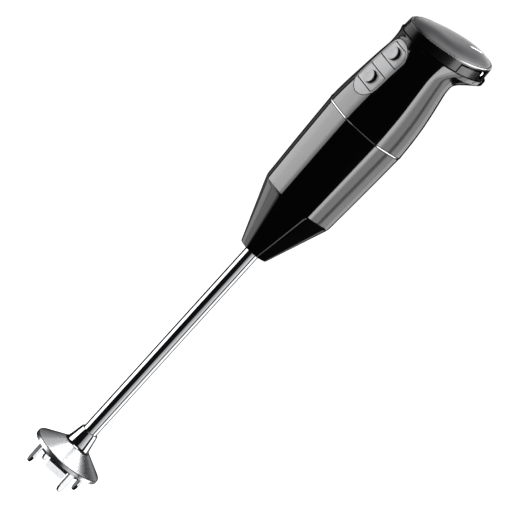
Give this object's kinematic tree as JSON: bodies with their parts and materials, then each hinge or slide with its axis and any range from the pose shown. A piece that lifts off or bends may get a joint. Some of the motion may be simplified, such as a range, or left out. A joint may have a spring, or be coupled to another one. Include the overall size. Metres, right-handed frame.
{
  "type": "immersion blender",
  "caption": "Cordless stick blender with a removable battery pack in an octagonal handle, a long steel arm and a pronged guard around a cross blade.",
  "frame": {"origin": "middle of the blade hub's lower face, on the drive axis", "axes": "+Z along the drive axis, from the blade to the battery pack; the buttons face -Y and +X is to the right of someone facing the buttons' side"},
  "size_m": [0.0604, 0.0752, 0.397],
  "materials": {
    "chrome_polish": "polished chrome, sharp reflections",
    "steel": "machined and ground steel",
    "brass": "plain brass",
    "copper": null,
    "gloss_black": "high-gloss black moulding",
    "panel_grey": "satin grey moulding",
    "head_grey": "satin dark-grey moulding",
    "trim": "satin silver trim",
    "rubber": "soft matte rubber",
    "nylon": "natural nylon",
    "dark_plastic": "matte dark moulding",
    "board": "solder-masked circuit board",
    "cell": null,
    "graphite": "pressed carbon",
    "magnet": "sintered ferrite",
    "lens": "clear light window"
  },
  "bodies": {
    "handle": {"guard": "chrome_polish", "shaft_tube": "chrome_polish", "lower_bush": "brass", "shaft_seal": "rubber", "upper_bush": "brass", "nose_seal": "rubber", "lower_housing": "gloss_black", "trim_ring": "trim", "upper_housing": "gloss_black", "button_bezel": "panel_grey", "switch_board": "board", "switch_low": "dark_plastic", "switch_high": "dark_plastic", "motor_can": "steel", "magnet_left": "magnet", "magnet_right": "magnet", "front_cap": "steel", "front_bearing": "steel", "rear_cap": "dark_plastic", "rear_bearing": "steel", "brush_holder_left": "brass", "brush_holder_right": "brass", "brush_left": "graphite", "brush_right": "graphite", "motor_mount_front": "rubber", "motor_mount_rear": "rubber", "terminal_block": "dark_plastic", "terminal_left": "brass", "terminal_right": "brass"},
    "rotor": {"motor_shaft": "steel", "armature_core": "steel", "windings": "copper", "commutator": "copper", "cooling_fan": "nylon", "coupling_upper": "nylon", "coupling_lower": "nylon", "drive_shaft": "steel", "drive_pin": "steel"},
    "blade": {"blade_hub": "steel", "blade": "steel"},
    "low_button": {"button_low": "panel_grey", "plunger_low": "nylon"},
    "high_button": {"button_high": "panel_grey", "plunger_high": "nylon"},
    "battery_pack": {"battery_tray": "dark_plastic", "battery_cell_1": "cell", "battery_cell_2": "cell", "battery_cell_3": "cell", "pack_contact_left": "brass", "pack_contact_right": "brass", "protection_board": "board", "pack_head": "head_grey", "pack_cap": "head_grey", "indicator_lens": "lens", "charge_contact_left": "steel", "charge_contact_right": "steel", "release_spring_left": "steel", "release_spring_right": "steel"},
    "left_release": {"release_button_left": "head_grey"},
    "right_release": {"release_button_right": "head_grey"}
  },
  "joints": [
    {"name": "drive_spin", "type": "hinge", "parent": "handle", "child": "rotor", "pos_m": [0, 0, 0.1], "axis": [0, 0, 1], "continuous": true},
    {"name": "blade_pull", "type": "slide", "parent": "rotor", "child": "blade", "axis": [0, 0, -1], "range_m": [0, 0.01]},
    {"name": "low_press", "type": "slide", "parent": "handle", "child": "low_button", "axis": [0, 1, 0], "range_m": [0, 0.0008], "stiffness_N_per_m": 2500, "springref_m": -0.0003},
    {"name": "high_press", "type": "slide", "parent": "handle", "child": "high_button", "axis": [0, 1, 0], "range_m": [0, 0.0008], "stiffness_N_per_m": 2500, "springref_m": -0.0003},
    {"name": "pack_slide", "type": "slide", "parent": "handle", "child": "battery_pack", "axis": [0, 0, 1], "range_m": [0, 0.085]},
    {"name": "left_release_press", "type": "slide", "parent": "battery_pack", "child": "left_release", "axis": [1, 0, 0], "range_m": [0, 0.002], "stiffness_N_per_m": 1500, "springref_m": -0.0008, "deforming": ["release_spring_left"]},
    {"name": "right_release_press", "type": "slide", "parent": "battery_pack", "child": "right_release", "axis": [-1, 0, 0], "range_m": [0, 0.002], "stiffness_N_per_m": 1500, "springref_m": -0.0008, "deforming": ["release_spring_right"]}
  ]
}
